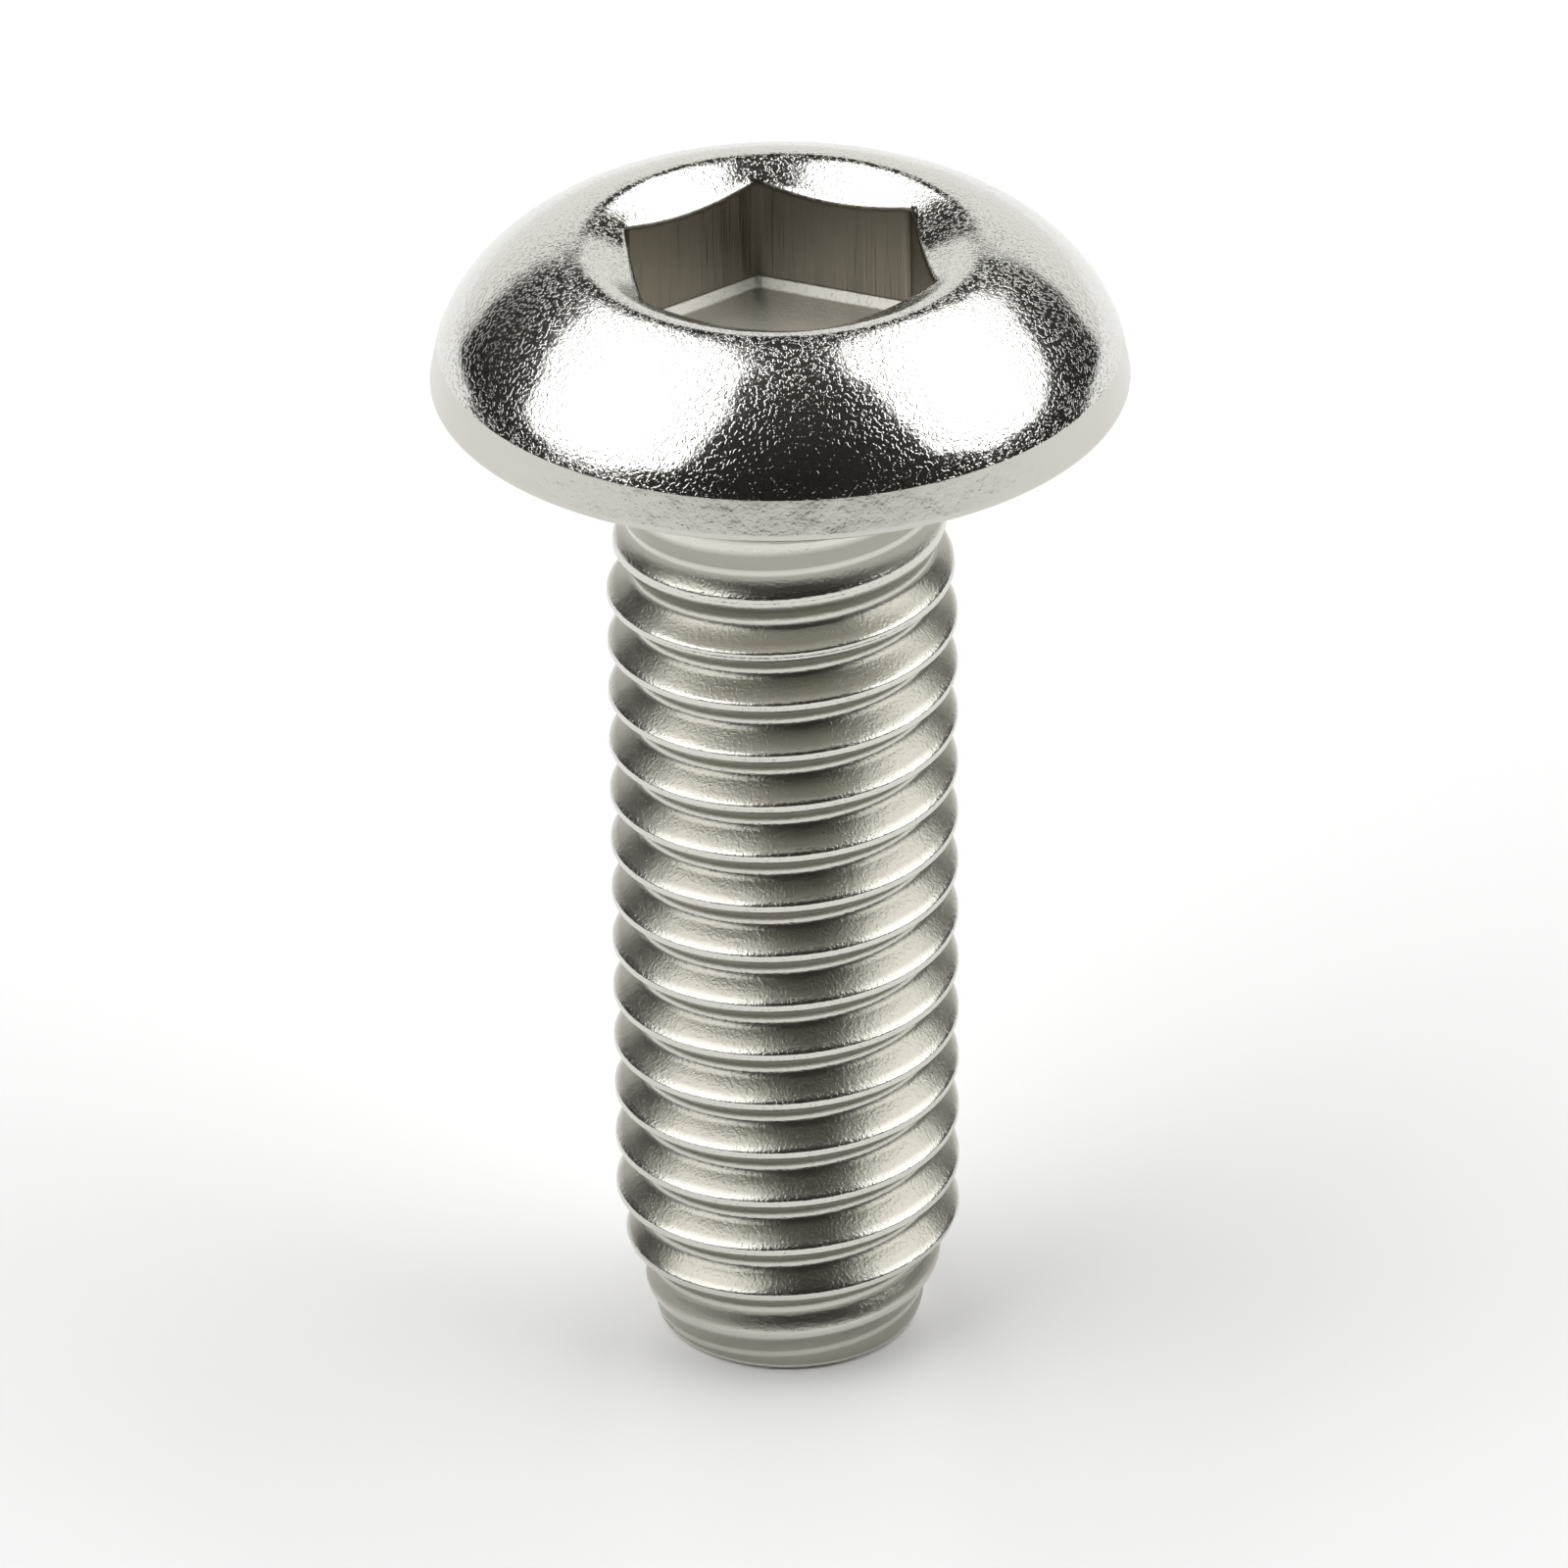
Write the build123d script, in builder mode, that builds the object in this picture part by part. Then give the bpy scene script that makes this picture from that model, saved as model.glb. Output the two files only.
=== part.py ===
"""Button head socket screw, M5 x 0.8 x 15.

One piece of austenitic stainless steel wire: the head and its hexagon socket are cold-formed,
then the thread is rolled onto the plain blank.

Frame: origin at the centre of the bearing face under the head, +Z along the axis and out of the
crown. The shank runs down to z = -shank_length, where its flat tip stands on a level surface.
Two of the socket's corners lie on the Y axis.
"""

from build123d import *
import math
import os

# Head
head_diameter = 9.7
head_height = 2.1  # bearing face to the rim of the socket
edge_band_height = 0.6
edge_band_draft = 0.12  # what the band draws in, on the radius, towards the crown
edge_round = 0.08
crown_start_slope = 3.5  # degrees the crown already falls at the socket's rim

# Hexagon socket
key_size = 4.0  # across flats
socket_depth = 1.8
countersink_land = 0.37  # rim of the countersink to the hexagon's corners, on the radius
countersink_slope = 19.0  # degrees below level
socket_floor_chamfer = 0.12

# Shank
shank_length = 15.0  # bearing face to tip
plain_neck_length = 1.5
neck_fillet = 0.25

# Thread, right-hand
pitch = 0.8
crest_diameter = 4.9
crest_flat = 0.16
root_flat = 0.14
flank_angle = 60.0  # between the two flanks of the groove
runout_length = 1.7  # along the axis, from the full thread to the plain neck
thread_start = 90.0  # degrees round from +X to where the full groove ends

# Tip
tip_diameter = 3.7
tip_taper_length = 1.75
tip_round = 0.15

head_radius = head_diameter / 2
crest_radius = crest_diameter / 2
tip_radius = tip_diameter / 2
half_flank = math.radians(flank_angle / 2)
groove_half_width = (pitch - crest_flat) / 2
thread_depth = (groove_half_width - root_flat / 2) / math.tan(half_flank)
root_radius = crest_radius - thread_depth
neck_radius = crest_radius - thread_depth / 2  # the blank before rolling: metal moves out and in alike
runout_start = -plain_neck_length - runout_length
hexagon_corner_radius = key_size / 2 / math.cos(math.radians(30))
socket_rim_radius = hexagon_corner_radius + countersink_land

# How far the thread's cutter reaches out past the crests
cutter_margin = 0.1
cutter_half_width = groove_half_width + cutter_margin * math.tan(half_flank)

# One turn of the V groove, rising round the axis from the +X side
with BuildPart() as groove_turn:
    with BuildLine() as winding:
        Helix(pitch=pitch, height=pitch, radius=crest_radius)
    with BuildSketch(Plane(origin=(crest_radius, 0, 0), x_dir=(1, 0, 0), z_dir=(0, -1, 0))) as groove:
        with BuildLine():
            Polyline((-thread_depth, -root_flat / 2), (cutter_margin, -cutter_half_width),
                (cutter_margin, cutter_half_width), (-thread_depth, root_flat / 2), close=True)
        make_face()
    sweep(path=winding.line, is_frenet=True)

# The same groove along a cone, where it climbs out of the blank towards the plain neck
with BuildPart() as groove_runout:
    with BuildLine() as unwinding:
        Helix(pitch=pitch, height=runout_length, radius=crest_radius,
            cone_angle=math.degrees(math.atan2(thread_depth, runout_length)))
    add(groove.sketch)
    sweep(path=unwinding.line, is_frenet=True)

with BuildPart() as screw:
    # Blank with the head, the plain neck, the crests' envelope and the tapered tip
    with BuildSketch(Plane.XZ) as profile:
        with BuildLine():
            Polyline((0, head_height), (0, -shank_length), (tip_radius, -shank_length),
                (crest_radius, -shank_length + tip_taper_length), (crest_radius, runout_start),
                (neck_radius, -plain_neck_length), (neck_radius, 0), (head_radius - edge_round, 0))
            RadiusArc((head_radius - edge_round, 0), (head_radius, edge_round), -edge_round)
            Line((head_radius, edge_round), (head_radius - edge_band_draft, edge_band_height))
            TangentArc((socket_rim_radius, head_height), (head_radius - edge_band_draft, edge_band_height),
                tangent=Vector(1, 0).rotate(Axis.Z, -crown_start_slope))
            Line((socket_rim_radius, head_height), (0, head_height))
        make_face()
        fillet(profile.vertices().sort_by_distance((neck_radius, 0))[0], radius=neck_fillet)
        fillet(profile.vertices().sort_by_distance((tip_radius, -shank_length))[0], radius=tip_round)
    revolve(axis=Axis.Z)

    # Countersink round the socket's mouth
    countersink_depth = socket_rim_radius * math.tan(math.radians(countersink_slope))
    with BuildSketch(Plane.XZ):
        with BuildLine():
            Polyline((0, head_height), (socket_rim_radius, head_height), (0, head_height - countersink_depth),
                close=True)
        make_face()
    revolve(axis=Axis.Z, mode=Mode.SUBTRACT)

    # Hexagon socket, with the small chamfer the punch leaves round its floor
    with BuildSketch(Plane.XY.offset(head_height - socket_depth)):
        RegularPolygon(radius=key_size / 2, side_count=6, major_radius=False, rotation=30)
    extrude(amount=socket_depth, mode=Mode.SUBTRACT)
    chamfer(screw.faces(Select.LAST).filter_by(Axis.Z)[0].edges(), length=socket_floor_chamfer)

    # Thread: turns of the groove from the run-out down past the tip, and the run-out above them
    turns = math.ceil((shank_length + runout_start + cutter_half_width) / pitch)
    with Locations([Location((0, 0, runout_start - turn * pitch), (0, 0, thread_start))
            for turn in range(1, turns + 1)]):
        add(groove_turn.part, mode=Mode.SUBTRACT)
    with Locations(Location((0, 0, runout_start), (0, 0, thread_start))):
        add(groove_runout.part, mode=Mode.SUBTRACT)
screw.part.label = "button_head_screw"

os.makedirs("parts", exist_ok=True)
export_step(screw.part, "parts/button_head_screw.step")
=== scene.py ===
import math

import bmesh
import bpy
import numpy as np
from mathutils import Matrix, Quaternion, Vector


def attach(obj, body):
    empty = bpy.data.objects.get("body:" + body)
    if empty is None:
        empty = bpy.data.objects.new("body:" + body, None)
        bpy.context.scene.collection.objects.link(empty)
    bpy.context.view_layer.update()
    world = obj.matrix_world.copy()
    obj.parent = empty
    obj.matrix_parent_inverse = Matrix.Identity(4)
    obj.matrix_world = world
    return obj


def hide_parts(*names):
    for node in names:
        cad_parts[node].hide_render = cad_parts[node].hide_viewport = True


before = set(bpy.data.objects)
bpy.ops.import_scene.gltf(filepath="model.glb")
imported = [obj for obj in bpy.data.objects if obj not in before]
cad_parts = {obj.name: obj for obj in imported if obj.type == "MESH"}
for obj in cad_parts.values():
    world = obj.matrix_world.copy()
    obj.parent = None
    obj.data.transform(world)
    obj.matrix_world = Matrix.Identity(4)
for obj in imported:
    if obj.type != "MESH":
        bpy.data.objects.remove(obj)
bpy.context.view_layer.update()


# ---- Steel ------------------------------------------------------------------------------------
# The whole screw is one piece of austenitic stainless steel wire: cold-headed and punched, thread
# rolled, then tumbled and passivated. Five finishes come out of that, from bright to matt.

mm = 0.001


def linear(hex_colour):
    """The linear RGBA of an sRGB hex colour."""
    parts = [int(hex_colour[i:i + 2], 16) / 255 for i in (1, 3, 5)]
    return [c / 12.92 if c <= 0.04045 else ((c + 0.055) / 1.055) ** 2.4 for c in parts] + [1.0]


def add_node(tree, kind, feeds=None, **settings):
    """A new node of a tree with its settings; feeds gives each input a value or an output."""
    node = tree.nodes.new(kind)
    for name, value in settings.items():
        setattr(node, name, value)
    for socket, value in (feeds or {}).items():
        if isinstance(value, bpy.types.NodeSocket):
            tree.links.new(value, node.inputs[socket])
        else:
            node.inputs[socket].default_value = value
    return node


def new_material(name):
    """An empty node material and its tree."""
    material = bpy.data.materials.new(name)
    material.use_nodes = True
    material.node_tree.nodes.clear()
    return material, material.node_tree


def steel(name, colour, roughness, peel, waviness, grains, stretch=1.0):
    """Stainless steel, whose waviness, orange peel and standing grains are each (size across in
    mm, height in mm). The stretch draws them out along the screw."""
    material, tree = new_material(name)
    place = add_node(tree, "ShaderNodeTexCoord").outputs["Object"]
    along = add_node(tree, "ShaderNodeVectorMath", {0: place, 1: (1.0, 1.0, 1 / stretch)},
                     operation="MULTIPLY").outputs[0]
    wave = add_node(tree, "ShaderNodeTexNoise",
                    {"Vector": along, "Scale": 1 / (waviness[0] * mm), "Detail": 1.0})
    wave_bump = add_node(tree, "ShaderNodeBump",
                         {"Height": wave.outputs["Fac"], "Strength": 1.0,
                          "Distance": waviness[1] * mm})
    skin = add_node(tree, "ShaderNodeTexNoise",
                    {"Vector": along, "Scale": 1 / (peel[0] * mm), "Detail": 2.0,
                     "Roughness": 0.6})
    peel_bump = add_node(tree, "ShaderNodeBump",
                         {"Height": skin.outputs["Fac"], "Strength": 1.0,
                          "Distance": peel[1] * mm, "Normal": wave_bump.outputs["Normal"]})
    # The grains stand a little proud with flat tops, so only their edges break a reflection. Real
    # grains are about 0.03 mm across; they are drawn coarser, so that they still show.
    grain = add_node(tree, "ShaderNodeTexNoise",
                     {"Vector": along, "Scale": 1 / (grains[0] * mm), "Detail": 1.0})
    flat_topped = add_node(tree, "ShaderNodeMapRange",
                           {"Value": grain.outputs["Fac"], "From Min": 0.5, "From Max": 0.64},
                           interpolation_type="SMOOTHSTEP")
    grain_bump = add_node(tree, "ShaderNodeBump",
                          {"Height": flat_topped.outputs["Result"], "Strength": 1.0,
                           "Distance": grains[1] * mm, "Normal": peel_bump.outputs["Normal"]})
    shader = add_node(tree, "ShaderNodeBsdfPrincipled",
                      {"Base Color": linear(colour), "Metallic": 1.0, "Roughness": roughness,
                       "Normal": grain_bump.outputs["Normal"]})
    add_node(tree, "ShaderNodeOutputMaterial", {"Surface": shader.outputs["BSDF"]})
    return material


# The crown came off the die with a fine grain, and tumbling left it bright: its reflections are
# clear, with speckled edges.
headed_steel = steel("cold_headed_stainless", "#DEDDD8", 0.09, (0.05, 0.0015), (0.6, 0.006),
                     (0.06, 0.0021))
# The edge band and the underside rubbed along the die, so they stay duller and cloudy.
die_edge_steel = steel("die_edge_stainless", "#CFCDC5", 0.2, (0.08, 0.003), (0.35, 0.012),
                       (0.07, 0.0006))
# The punch dragged fine scores down the socket's walls, so they look streaked; their darker colour
# is painted shade down in the socket.
punched_shaded_steel = steel("punched_stainless_painted_shade", "#928D83", 0.3, (0.05, 0.003), (0.3, 0.02),
                      (0.08, 0.002), stretch=25.0)
# The socket's floor took the blunt end of the punch and is a dull, matt grey.
pressed_steel = steel("pressed_stainless", "#C9C6BD", 0.5, (0.06, 0.003), (0.5, 0.01),
                      (0.08, 0.002))
# The thread keeps the satin of the dies on its flanks, which carry painted shade down in the
# groove.
# Tumbling rubbed its crests bright, and the edges of the dies burnished its roots.
rolled_steel = steel("rolled_stainless", "#C4C1B7", 0.3, (0.045, 0.0035), (0.45, 0.007),
                     (0.05, 0.0012))
shaders = rolled_steel.node_tree
body = next(n for n in shaders.nodes if n.type == "BSDF_PRINCIPLED")
# The thread stores how far each point lies from the crest, as a share from crest to root.
off_crest_of = add_node(shaders, "ShaderNodeAttribute", attribute_name="off_crest")
flank_satin_and_shade = add_node(shaders, "ShaderNodeMapRange",
                {"Value": off_crest_of.outputs["Fac"], "From Min": 0.1, "From Max": 0.34})
pressed = add_node(shaders, "ShaderNodeMapRange",
                   {"Value": off_crest_of.outputs["Fac"], "From Min": 0.84, "From Max": 0.94,
                    "To Min": 1.0, "To Max": 0.2})
satin_and_groove_shade = add_node(shaders, "ShaderNodeMath",
                 {0: flank_satin_and_shade.outputs["Result"], 1: pressed.outputs["Result"]}, operation="MINIMUM")
# Inputs 6 and 7 are the colours of the bright steel and of the satin flanks with painted shade.
groove_shaded_colours = add_node(shaders, "ShaderNodeMix",
                   {"Factor": satin_and_groove_shade.outputs[0], 6: linear("#DAD8D0"), 7: linear("#A9A69C")},
                   data_type="RGBA")
sheen = add_node(shaders, "ShaderNodeMapRange",
                 {"Value": satin_and_groove_shade.outputs[0], "To Min": 0.18, "To Max": 0.3})
groove_shaded_colour = next(o for o in groove_shaded_colours.outputs if o.enabled)
shaders.links.new(groove_shaded_colour, body.inputs["Base Color"])
shaders.links.new(sheen.outputs["Result"], body.inputs["Roughness"])


# ---- Screw blank ------------------------------------------------------------------------------
# The blank is cold-headed from round wire: a plain neck, a button head with a low pressed crown
# and a nearly upright edge band, and a tapered point turned at the other end.

columns = 144
angles = 2 * math.pi * np.arange(columns) / columns

head_radius, head_height = 4.85, 2.1
edge_round, edge_draft, crease_height = 0.08, math.tan(math.radians(11.7)), 0.6
edge_foot = head_radius + edge_round * (math.sqrt(1 + edge_draft ** 2) - 1 + edge_draft)
crease_radius = edge_foot - crease_height * edge_draft
crown_start = math.radians(86.5)
rim_radius, rim_round = 2.6794, 0.6
neck_radius, neck_fillet, neck_end = 2.2335, 0.25, -1.4
tip_radius, tip_height, tip_round, point_top = 1.85, -15.0, 0.15, -14.88
taper_top, crest_radius = -13.25, 2.45


def rounded(corners, steps=5, lead=0.03):
    """A profile through (radius, height, rounding) corners, each rounded by an arc."""
    points = [corners[0][:2]]
    for (r0, z0, *_), (r1, z1, rounding), (r2, z2, *_) in zip(corners, corners[1:], corners[2:]):
        corner = np.array((r1, z1))
        if not rounding:
            points.append((r1, z1))
            continue
        back = np.array((r0, z0)) - corner
        ahead = np.array((r2, z2)) - corner
        back, ahead = back / np.linalg.norm(back), ahead / np.linalg.norm(ahead)
        half = math.acos(np.clip(back @ ahead, -1, 1)) / 2
        reach = rounding / math.tan(half)
        centre = corner + (back + ahead) / np.linalg.norm(back + ahead) * rounding / math.sin(half)
        first, last = corner + back * reach - centre, corner + ahead * reach - centre
        turn = math.atan2(first[0] * last[1] - first[1] * last[0], first @ last)
        points.append(tuple(corner + back * (reach + lead)))
        for i in range(steps + 1):
            c, s = math.cos(turn * i / steps), math.sin(turn * i / steps)
            points.append((centre[0] + c * first[0] - s * first[1],
                           centre[1] + s * first[0] + c * first[1]))
        points.append(tuple(corner + ahead * (reach + lead)))
    points.append(corners[-1][:2])
    return points


rise, spread = head_height - crease_height, crease_radius - rim_radius
crown_radius = (spread ** 2 + rise ** 2) / (
    2 * (rise * math.sin(crown_start) - spread * math.cos(crown_start)))
crown_centre = (rim_radius - crown_radius * math.cos(crown_start),
                head_height - crown_radius * math.sin(crown_start))
crown_end = math.atan2(crease_height - crown_centre[1], crease_radius - crown_centre[0])
crown = [(crown_centre[0] + crown_radius * math.cos(a),
          crown_centre[1] + crown_radius * math.sin(a))
         for a in np.linspace(crown_end, crown_start, 25)]

underside = rounded([(neck_radius, neck_end), (neck_radius, 0.0, neck_fillet),
                     (edge_foot, 0.0, edge_round), (crease_radius, crease_height, 0.05),
                     crown[2]])
profile = underside[:-1] + crown[2:-3]


# ---- Socket -----------------------------------------------------------------------------------
# A hexagon punched into the crown, its mouth countersunk so the key finds its way in. The punch
# leaves a small chamfer round the floor.

key_half, corner_cut = 2.0, 0.0155
countersink = math.tan(math.radians(25.0))
floor_height, floor_chamfer = 0.3, 0.12
to_flat = (np.degrees(angles) + 30) % 60 - 30


def hexagon(half_width):
    """The radius of a hexagon at each column, its corners cut a little round."""
    shape = half_width / np.cos(np.radians(to_flat))
    return np.minimum(shape, half_width / math.cos(math.radians(30)) - corner_cut)


def mouth_height(radius):
    """The height of the countersink at a radius."""
    return head_height - (rim_radius - radius) * countersink


def round_rings(outline):
    """A round ring of vertices for each (radius, height) point of an outline."""
    return [(np.full(columns, r), np.full(columns, z)) for r, z in outline]


rings = round_rings(profile)
down_the_mouth = rim_radius - 0.3
rim = rounded([crown[-4], (rim_radius, head_height, rim_round),
               (down_the_mouth, mouth_height(down_the_mouth))], 6)
rings += round_rings(rim[1:-1])
rim_inside = rim[-2][0]
edge = hexagon(key_half)
edge_round_reach = 0.1
for share in (0.75, 0.5, 0.25):
    radius = edge + edge_round_reach + (rim_inside - edge - edge_round_reach) * share
    rings.append((radius, mouth_height(radius)))
# The mouth turns over into the walls in a small round, here as (out from the wall, down from the
# countersink). The punched finish, with its painted shade, starts half way round it.
edge_steps = ((0.1, 0.0), (0.07, 0.001), (0.04, 0.008), (0.018, 0.022), (0.004, 0.05),
              (0.0, 0.08), (0.0, 0.1))
for out, down in edge_steps:
    rings.append((edge + out, mouth_height(edge + out) - down))
wall_row = len(rings) - 4
top_of_wall = mouth_height(edge) - edge_round_reach
foot_of_wall = floor_height + floor_chamfer
for share in (0.2, 0.4, 0.6, 0.8, 0.97):
    rings.append((edge, top_of_wall + (foot_of_wall - top_of_wall) * share))
# The chamfer at the foot of the walls, then the floor on its way in to the middle.
floor_row = len(rings)
floor_half = key_half - floor_chamfer
for half_width, level in ((key_half, foot_of_wall), (key_half - 0.015, foot_of_wall - 0.015),
                          (floor_half + 0.02, floor_height + 0.02), (floor_half, floor_height),
                          (1.84, floor_height), (1.5, floor_height), (1.0, floor_height),
                          (0.5, floor_height)):
    rings.append((hexagon(half_width), np.full(columns, level)))

vertices, faces = [], []


def add_rings(stack):
    """Adds rings of vertices, with a band of faces between each two, and gives the index of the
    first vertex."""
    base = len(vertices)
    for radius, height in stack:
        vertices.extend(zip(radius * np.cos(angles) * mm, radius * np.sin(angles) * mm,
                            np.asarray(height) * mm))
    for row in range(len(stack) - 1):
        for i in range(columns):
            j = (i + 1) % columns
            a, b = base + row * columns, base + (row + 1) * columns
            faces.append((a + i, a + j, b + j, b + i))
    return base


add_rings(rings)
centre = len(vertices)
vertices.append((0.0, 0.0, floor_height * mm))
last = centre - columns
faces.extend((last + i, last + (i + 1) % columns, centre) for i in range(columns))

cone = (crest_radius - tip_radius) / (taper_top - tip_height)
point_radius = tip_radius + cone * (point_top - tip_height)
point = rounded([(0.4, tip_height), (tip_radius, tip_height, tip_round),
                 (point_radius, point_top)])
first = add_rings(round_rings(point[:-2] + point[-1:]))
vertices.append((0.0, 0.0, tip_height * mm))
faces.extend((first + (i + 1) % columns, first + i, len(vertices) - 1) for i in range(columns))

# Each face stores the number of its finish in this list. The point and the thread have the first.
finishes = [rolled_steel, headed_steel, die_edge_steel, punched_shaded_steel, pressed_steel]
neck_edge = -0.2  # Below this height the neck has the thread's finish.
face_finishes = []
for row in range(len(rings) - 1):
    middle = (np.mean(rings[row][1]) + np.mean(rings[row + 1][1])) / 2
    if row >= floor_row:
        finish = pressed_steel
    elif row >= wall_row:
        finish = punched_shaded_steel
    elif middle < neck_edge:
        finish = rolled_steel
    else:
        finish = die_edge_steel if middle < crease_height else headed_steel
    face_finishes += [finishes.index(finish)] * columns
face_finishes += [finishes.index(pressed_steel)] * columns
face_finishes += [0] * (len(faces) - len(face_finishes))

mesh = bpy.data.meshes.new("screw_blank")
mesh.from_pydata([tuple(map(float, v)) for v in vertices], [], faces)
mesh.attributes.new("finish", "INT", "FACE").data.foreach_set("value", face_finishes)
blank = bpy.data.objects.new("screw_blank", mesh)
bpy.context.scene.collection.objects.link(blank)


# ---- Rolled thread ----------------------------------------------------------------------------
# Flat dies press the thread into the shank of the blank. The roots come out round and the crests
# narrow; the thread dies out towards the plain neck and over the taper of the point.

thread = bpy.data.node_groups.new("rolled_thread", "GeometryNodeTree")
thread.interface.new_socket("Blank", in_out="INPUT", socket_type="NodeSocketGeometry")
thread_sizes = {
    "Pitch": 0.8 * mm, "Lowest crest": -16.46 * mm, "Neck end": neck_end * mm,
    "Point top": point_top * mm, "Crest radius": crest_radius * mm, "Root radius": 2.09 * mm,
    "Neck radius": neck_radius * mm, "Crest start": -1.5 * mm, "Crest full": -3.2 * mm,
    "Root start": -1.8 * mm, "Root full": -3.1 * mm, "Taper top": taper_top * mm,
    "Tip": tip_height * mm, "Tip radius": tip_radius * mm, "Point radius": point_radius * mm,
}
for name in thread_sizes:
    thread.interface.new_socket(name, in_out="INPUT", socket_type="NodeSocketFloat")
turns, rows_a_turn = 20, 20
thread_counts = {"Turns": turns, "Rows": turns * rows_a_turn + 1, "Columns": columns + 1}
for name in thread_counts:
    thread.interface.new_socket(name, in_out="INPUT", socket_type="NodeSocketInt")
thread.interface.new_socket("Screw", in_out="OUTPUT", socket_type="NodeSocketGeometry")

sizes = add_node(thread, "NodeGroupInput").outputs
sheet = add_node(thread, "GeometryNodeMeshGrid",
                 {"Size X": 1.0, "Size Y": 1.0, "Vertices X": sizes["Columns"],
                  "Vertices Y": sizes["Rows"]})
place = add_node(thread, "ShaderNodeSeparateXYZ",
                 {0: add_node(thread, "GeometryNodeInputPosition").outputs[0]})
# The sheet is as wide as one turn and as high as all the turns, counted from the lowest.
turn = add_node(thread, "ShaderNodeMath", {0: place.outputs["X"], 1: 0.5}, operation="ADD")
way_up = add_node(thread, "ShaderNodeMath", {0: place.outputs["Y"], 1: 0.5}, operation="ADD")
count = add_node(thread, "ShaderNodeMath", {0: way_up.outputs[0], 1: sizes["Turns"]},
                 operation="MULTIPLY")
# Rows crowd towards each crest, where the form is finest.
full_turns = add_node(thread, "ShaderNodeMath", {0: count.outputs[0], 1: 2 * math.pi},
                      operation="MULTIPLY")
crowding = add_node(thread, "ShaderNodeMath", {0: full_turns.outputs[0]}, operation="SINE")
crowded = add_node(thread, "ShaderNodeMath",
                   {0: crowding.outputs[0], 1: -0.1, 2: count.outputs[0]},
                   operation="MULTIPLY_ADD")
pitches = add_node(thread, "ShaderNodeMath", {0: crowded.outputs[0], 1: turn.outputs[0]},
                   operation="ADD")
climb = add_node(thread, "ShaderNodeMath",
                 {0: pitches.outputs[0], 1: sizes["Pitch"], 2: sizes["Lowest crest"]},
                 operation="MULTIPLY_ADD")
# The sheet ends level, at the point below and at the neck above.
held = add_node(thread, "ShaderNodeClamp",
                {"Value": climb.outputs[0], "Min": sizes["Point top"],
                 "Max": sizes["Neck end"]})
off_crest = add_node(thread, "ShaderNodeMath", {0: crowded.outputs[0], 1: 0.5},
                     operation="PINGPONG")
off_crest_share = add_node(thread, "ShaderNodeMath", {0: off_crest.outputs[0], 1: 2.0},
                           operation="MULTIPLY")
# The form of the groove: how deep it is, as a share, on the way from the crest to the root. The
# crest has a narrow flat, the flank is nearly straight and the root is round.
depth = add_node(thread, "ShaderNodeFloatCurve", {"Value": off_crest_share.outputs[0]})
form = depth.mapping.curves[0]
for way_down, value in ((0.09, 0.0), (0.13, 0.02), (0.17, 0.07), (0.3, 0.25), (0.45, 0.46),
                        (0.62, 0.7), (0.78, 0.91), (0.86, 0.985), (0.93, 1.0)):
    form.points.new(way_down, value)
form.points[0].location = (0.0, 0.02)
form.points[-1].location = (1.0, 1.0)
depth.mapping.update()
# The crests grow out of the neck and follow the taper. The roots sink in from the neck, and close
# in along the taper until they meet the crests at the point.
growing = add_node(thread, "ShaderNodeMapRange",
                   {"Value": held.outputs[0], "From Min": sizes["Crest full"],
                    "From Max": sizes["Crest start"], "To Min": sizes["Crest radius"],
                    "To Max": sizes["Neck radius"]})
tapering = add_node(thread, "ShaderNodeMapRange",
                    {"Value": held.outputs[0], "From Min": sizes["Tip"],
                     "From Max": sizes["Taper top"], "To Min": sizes["Tip radius"],
                     "To Max": sizes["Crest radius"]})
outer_radius = add_node(thread, "ShaderNodeMath",
                        {0: growing.outputs["Result"], 1: tapering.outputs["Result"]},
                        operation="MINIMUM")
rising = add_node(thread, "ShaderNodeMapRange",
                  {"Value": held.outputs[0], "From Min": sizes["Root full"],
                   "From Max": sizes["Root start"], "To Min": sizes["Root radius"],
                   "To Max": sizes["Neck radius"]})
sinking = add_node(thread, "ShaderNodeMapRange",
                   {"Value": held.outputs[0], "From Min": sizes["Point top"],
                    "From Max": sizes["Taper top"], "To Min": sizes["Point radius"],
                    "To Max": sizes["Root radius"]})
on_taper = add_node(thread, "ShaderNodeMath",
                    {0: held.outputs[0], 1: sizes["Taper top"]}, operation="LESS_THAN")
root_radius = add_node(thread, "ShaderNodeMix",
                       {"Factor": on_taper.outputs[0], "A": rising.outputs["Result"],
                        "B": sinking.outputs["Result"]}, data_type="FLOAT")
inner_radius = add_node(thread, "ShaderNodeMath",
                        {0: root_radius.outputs["Result"], 1: outer_radius.outputs[0]},
                        operation="MINIMUM")
thread_radius = add_node(thread, "ShaderNodeMix",
                         {"Factor": depth.outputs[0], "A": outer_radius.outputs[0],
                          "B": inner_radius.outputs[0]}, data_type="FLOAT")
around = add_node(thread, "ShaderNodeMath", {0: turn.outputs[0], 1: 2 * math.pi},
                  operation="MULTIPLY")
cosine = add_node(thread, "ShaderNodeMath", {0: around.outputs[0]}, operation="COSINE")
sine = add_node(thread, "ShaderNodeMath", {0: around.outputs[0]}, operation="SINE")
direction = add_node(thread, "ShaderNodeCombineXYZ",
                     {"X": cosine.outputs[0], "Y": sine.outputs[0]})
outwards = add_node(thread, "ShaderNodeVectorMath",
                    {0: direction.outputs[0], "Scale": thread_radius.outputs["Result"]},
                    operation="SCALE")
upwards = add_node(thread, "ShaderNodeCombineXYZ", {"Z": held.outputs[0]})
on_thread = add_node(thread, "ShaderNodeVectorMath",
                     {0: outwards.outputs[0], 1: upwards.outputs[0]}, operation="ADD")
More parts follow.
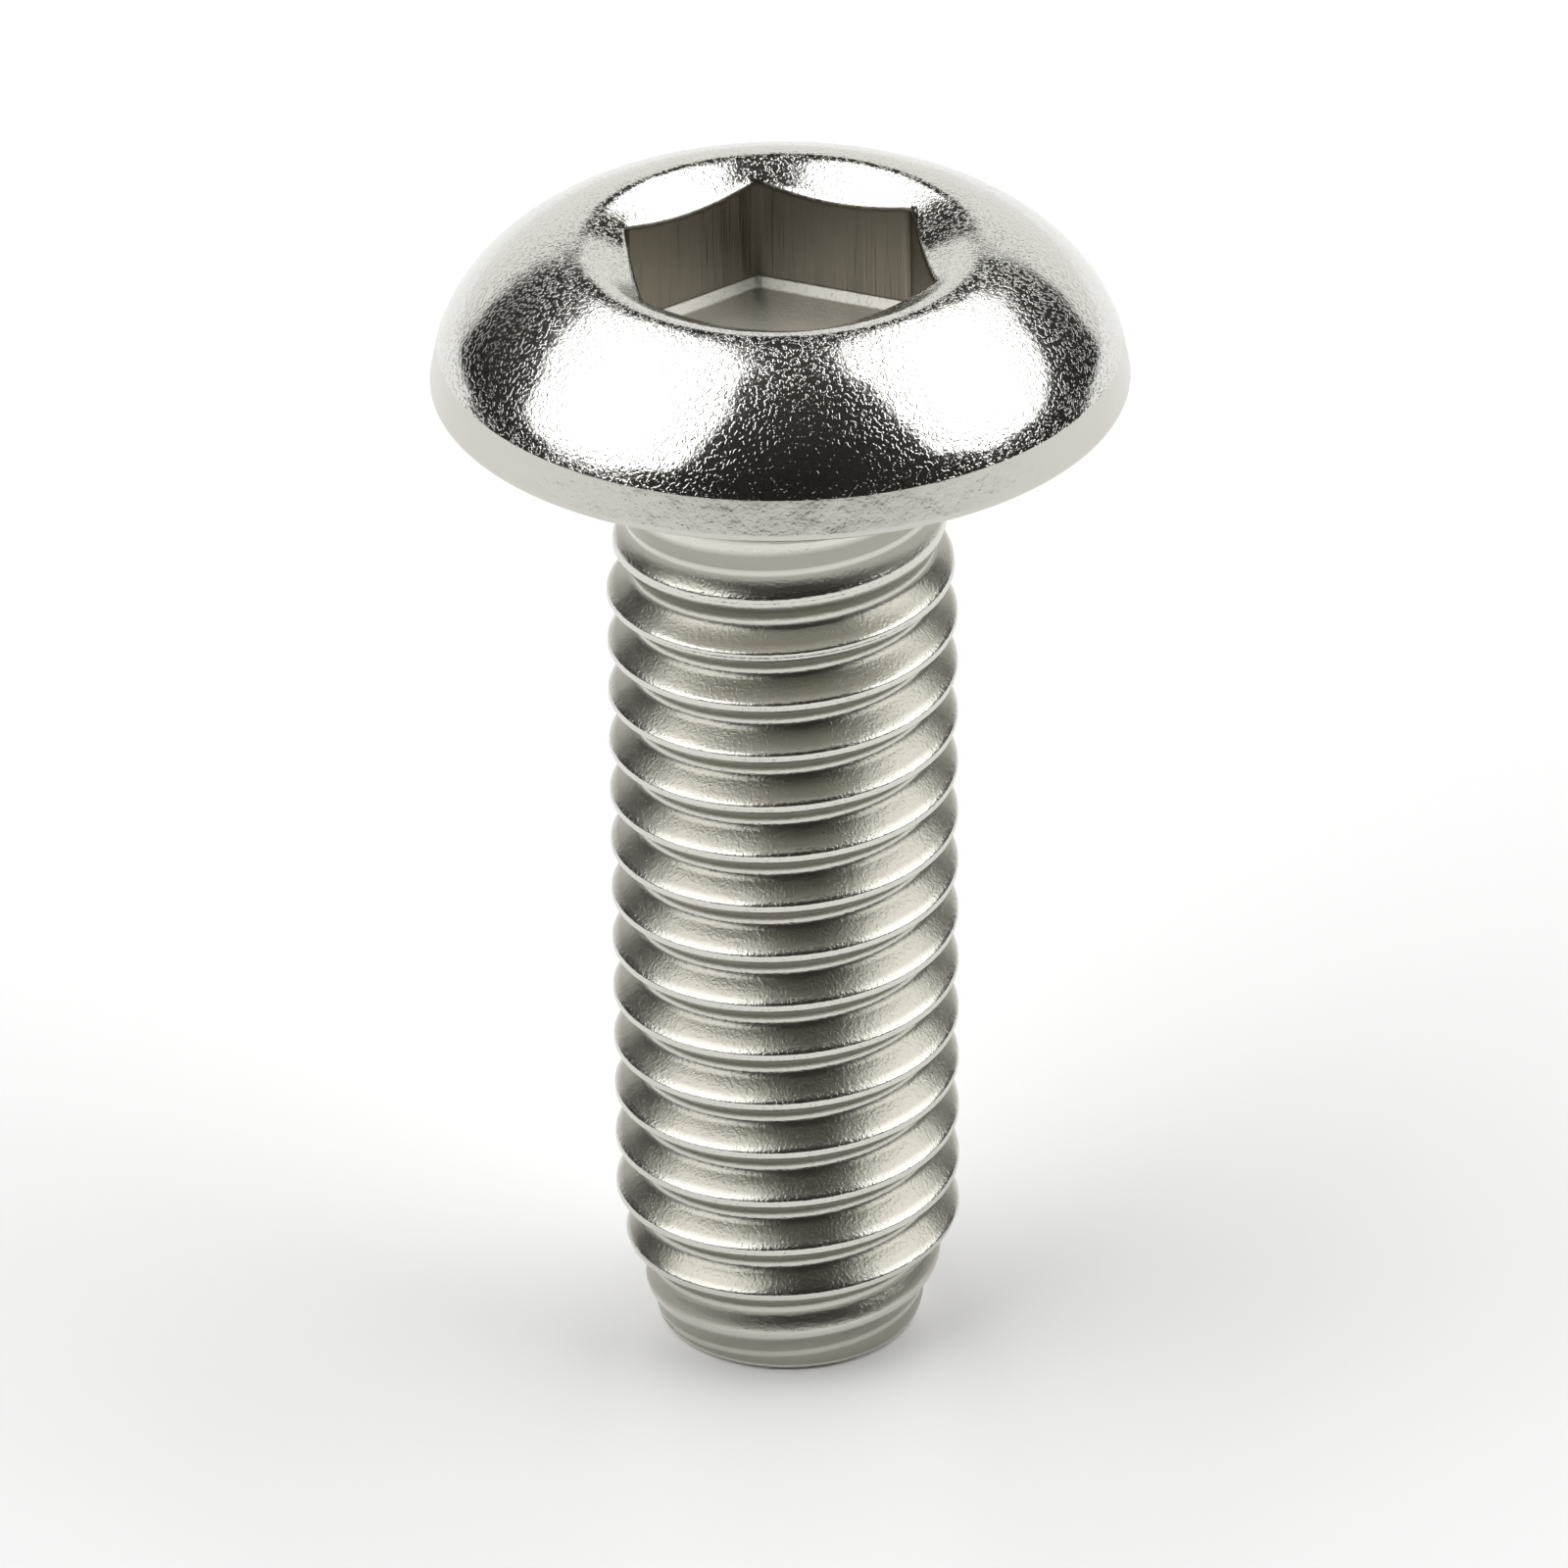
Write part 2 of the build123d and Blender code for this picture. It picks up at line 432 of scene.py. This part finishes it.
marked = add_node(thread, "GeometryNodeStoreNamedAttribute",
                  {"Geometry": sheet.outputs["Mesh"], "Name": "off_crest",
                   "Value": off_crest_share.outputs[0]}, data_type="FLOAT", domain="POINT")
wrapped = add_node(thread, "GeometryNodeSetPosition",
                   {"Geometry": marked.outputs[0], "Position": on_thread.outputs[0]})
joined = add_node(thread, "GeometryNodeJoinGeometry", {"Geometry": sizes["Blank"]})
thread.links.new(wrapped.outputs[0], joined.inputs[0])
weld_gap = 0.001 * mm
welded = add_node(thread, "GeometryNodeMergeByDistance",
                  {"Geometry": joined.outputs[0], "Distance": weld_gap})
smooth = add_node(thread, "GeometryNodeSetShadeSmooth", {"Geometry": welded.outputs[0]})
real = add_node(thread, "GeometryNodeRealizeInstances", {"Geometry": smooth.outputs[0]})
finish_number = add_node(thread, "GeometryNodeInputNamedAttribute", {"Name": "finish"},
                         data_type="INT")
finished_so_far = real.outputs[0]
for number, material in enumerate(finishes):
    # Inputs 2 and 3 compare whole numbers.
    has_finish = add_node(thread, "FunctionNodeCompare",
                          {2: finish_number.outputs["Attribute"], 3: number},
                          data_type="INT", operation="EQUAL")
    finished_so_far = add_node(thread, "GeometryNodeSetMaterial",
                               {"Geometry": finished_so_far, "Selection": has_finish.outputs[0],
                                "Material": material}).outputs[0]
add_node(thread, "NodeGroupOutput", {"Screw": finished_so_far})

rolling = blank.modifiers.new("rolled_thread", "NODES")
rolling.node_group = thread
thread_inputs = {**thread_sizes, **thread_counts}
for item in thread.interface.items_tree:
    if item.in_out == "INPUT" and item.name in thread_inputs:
        rolling[item.identifier] = thread_inputs[item.name]

finished = bpy.data.meshes.new_from_object(
    blank.evaluated_get(bpy.context.evaluated_depsgraph_get()))
finished.name = "screw"
bpy.data.objects.remove(blank)
screw = bpy.data.objects.new("screw", finished)
bpy.context.scene.collection.objects.link(screw)
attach(screw, "root")
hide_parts("button_head_screw")


# ---- Floor ------------------------------------------------------------------------------------
# A wide sheet of matt white card. The screw stands upright on it, on its tip.

white_card, tree = new_material("matt_white_card")
shader = add_node(tree, "ShaderNodeBsdfPrincipled",
                  {"Base Color": linear("#FAFAFA"), "Roughness": 0.9,
                   "Specular IOR Level": 0.1})
add_node(tree, "ShaderNodeOutputMaterial", {"Surface": shader.outputs["BSDF"]})
bpy.ops.mesh.primitive_grid_add(x_subdivisions=2, y_subdivisions=2, size=8.0,
                                location=(0, 0, tip_height * mm))
floor = bpy.context.object
floor.name = "floor"
floor.data.materials.append(white_card)


# ---- Studio -----------------------------------------------------------------------------------
# A dark studio with two soft boxes leaning over the table, one on each side, and a rounded pale
# card standing behind. All of it shows only in reflections; past the floor the camera sees plain
# white. Directions are (degrees round from straight behind, degrees up).

camera_turn = math.radians(7.5)
behind = Vector((math.sin(camera_turn), math.cos(camera_turn), 0))
rightwards = Vector((math.cos(camera_turn), -math.sin(camera_turn), 0))


def towards(round_by, up_by):
    """The direction that is so many degrees round and so many up."""
    a, e = math.radians(round_by), math.radians(up_by)
    return (behind * math.cos(a) + rightwards * math.sin(a)) * math.cos(e) + Vector(
        (0, 0, math.sin(e)))


def stand_panel(name, facing, distance, corners, material):
    """A flat panel square to a direction, whose corners lie in the directions given."""
    normal = towards(*facing)
    spots = []
    for corner in corners:
        ray = towards(*corner)
        spots.append(ray * (distance / ray.dot(normal)))
    panel = bpy.data.meshes.new(name)
    panel.from_pydata(spots, [], [list(range(len(spots)))])
    panel.materials.append(material)
    panel_object = bpy.data.objects.new(name, panel)
    bpy.context.scene.collection.objects.link(panel_object)
    panel_object.visible_camera = False


diffuser, tree = new_material("lit_diffuser_cloth")
glow = add_node(tree, "ShaderNodeEmission", {"Color": linear("#FFFFFF"), "Strength": 2.15})
add_node(tree, "ShaderNodeOutputMaterial", {"Surface": glow.outputs[0]})
stand_panel("left_soft_box", (-100, 50), 0.75,
            [(-7, 40), (-12, 37), (-27, 43), (-57, 41), (-73, 34), (-84, 19), (-93, 14),
             (-102, 13), (-117, 15), (-127, 18), (-140, 26), (-145, 35), (-146, 47), (-145, 57),
             (-143, 69), (-123, 77), (-58, 81), (-16, 73), (-10, 61), (-6, 50)], diffuser)
stand_panel("right_soft_box", (95, 50), 0.75,
            [(6, 40), (15, 37), (28, 37), (48, 36), (63, 27), (73, 20), (79, 17), (87, 14),
             (102, 15), (109, 16), (116, 22), (124, 28), (125, 34), (124, 48), (120, 58),
             (108, 66), (83, 72), (48, 74), (24, 67), (13, 59), (8, 49)], diffuser)

grey_card, tree = new_material("pale_grey_card")
shade = add_node(tree, "ShaderNodeEmission", {"Color": linear("#F4F4F1"), "Strength": 1.0})
add_node(tree, "ShaderNodeOutputMaterial", {"Surface": shade.outputs[0]})
stand_panel("card_behind", (0, 0), 0.9,
            [(-42, -1), (-40, 10), (-30, 20), (-15, 26), (0, 28), (15, 27), (30, 21), (42, 10),
             (45, -1)], grey_card)

dark_cloth, tree = new_material("dark_studio_cloth")
shader = add_node(tree, "ShaderNodeBsdfPrincipled",
                  {"Base Color": linear("#55544F"), "Roughness": 1.0, "Specular IOR Level": 0.0})
add_node(tree, "ShaderNodeOutputMaterial", {"Surface": shader.outputs["BSDF"]})
room_mesh = bpy.data.meshes.new("dark_studio")
shape = bmesh.new()
bmesh.ops.create_uvsphere(shape, u_segments=48, v_segments=24, radius=1.8)
bmesh.ops.reverse_faces(shape, faces=shape.faces)
bmesh.ops.delete(shape, geom=[v for v in shape.verts if v.co.z < -0.3], context="VERTS")
shape.to_mesh(room_mesh)
shape.free()
room_mesh.materials.append(dark_cloth)
room = bpy.data.objects.new("dark_studio", room_mesh)
bpy.context.scene.collection.objects.link(room)
room.visible_camera = False

world = bpy.data.worlds.new("white_surroundings")
bpy.context.scene.world = world
world.use_nodes = True
world.node_tree.nodes.clear()
sky = add_node(world.node_tree, "ShaderNodeBackground", {"Color": linear("#FFFFFF")})
add_node(world.node_tree, "ShaderNodeOutputWorld", {"Surface": sky.outputs[0]})


# ---- Camera -----------------------------------------------------------------------------------
# A long lens aimed at the middle of the screw's length, looking down on it a little and leaning
# half a degree to one side.

camera_up = math.radians(27.6)
camera_data = bpy.data.cameras.new("camera")
camera_data.sensor_width = 36
camera_data.lens = 315
camera_data.clip_start, camera_data.clip_end = 0.01, 20
camera = bpy.data.objects.new("camera", camera_data)
bpy.context.scene.collection.objects.link(camera)
aim = Vector((0, 0, -6.45 * mm))
back = -behind * math.cos(camera_up) + Vector((0, 0, math.sin(camera_up)))
camera_distance = 0.19
camera.location = back * camera_distance
camera.rotation_mode = "QUATERNION"
lean = Quaternion((0, 0, 1), math.radians(-0.55))
camera.rotation_quaternion = (aim - camera.location).to_track_quat("-Z", "Y") @ lean
bpy.context.scene.camera = camera
bpy.context.scene.view_settings.view_transform = "Standard"
